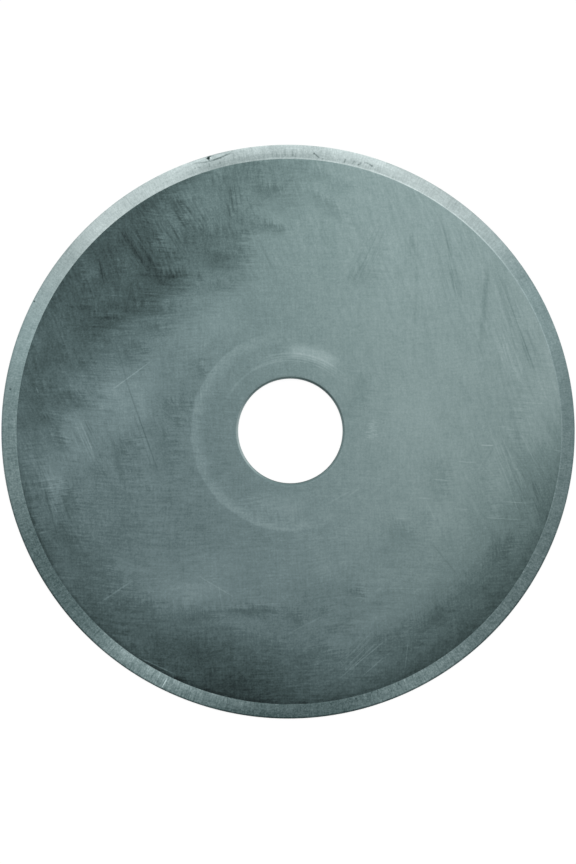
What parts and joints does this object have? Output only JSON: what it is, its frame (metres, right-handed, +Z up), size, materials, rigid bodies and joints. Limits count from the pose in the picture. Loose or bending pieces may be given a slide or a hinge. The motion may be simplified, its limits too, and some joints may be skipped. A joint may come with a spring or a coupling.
{
  "type": "rotary cutter blade",
  "caption": "Thin round steel blade, ground from both faces to a sharp edge all round, with a plain centre bore that turns on a rotary cutter's sleeve.",
  "frame": {"origin": "on the bore's axis, on the flat face that the blade lies on", "axes": "+Z up along the bore's axis, through the upper face; +X and +Y in the plane of the blade, with the nick in the edge 106 degrees anticlockwise from +X"},
  "size_m": [0.045, 0.045, 0.0003],
  "materials": {
    "blade_steel": "dull grey-green steel, finely brushed and scratched, with a brighter ground bevel, a rub ring round the bore and a small nick in the edge"
  },
  "bodies": {
    "root": {"blade": "blade_steel"}
  },
  "joints": []
}
